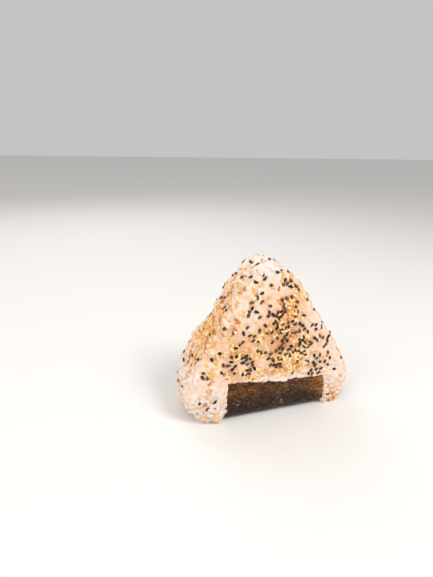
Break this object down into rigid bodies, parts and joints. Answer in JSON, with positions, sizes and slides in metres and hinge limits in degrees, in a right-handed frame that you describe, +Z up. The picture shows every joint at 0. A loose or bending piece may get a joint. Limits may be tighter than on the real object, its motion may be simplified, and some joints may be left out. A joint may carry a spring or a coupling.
{
  "type": "onigiri rice ball",
  "caption": "Hand-pressed triangular rice ball with a nori strip folded round its base and black and toasted sesame; stands on its base as a serving of food.",
  "frame": {"origin": "middle of the flat base, on the surface it stands on", "axes": "+X along the width, to the right seen from the front; -Y is the front face that the camera sees, +Y the back; +Z up to the top of the triangle"},
  "size_m": [0.0982, 0.037, 0.0845],
  "materials": {
    "rice": "moist cooked rice, pressed, pale with an amber seasoning stain, soft gloss",
    "nori": "pressed seaweed sheet, brown-black, fibrous, slightly moist sheen",
    "black_sesame": "black sesame seed, satin",
    "toasted_sesame": "toasted sesame seed, golden, satin"
  },
  "bodies": {
    "root": {"rice": "rice", "nori": "nori"}
  },
  "joints": []
}
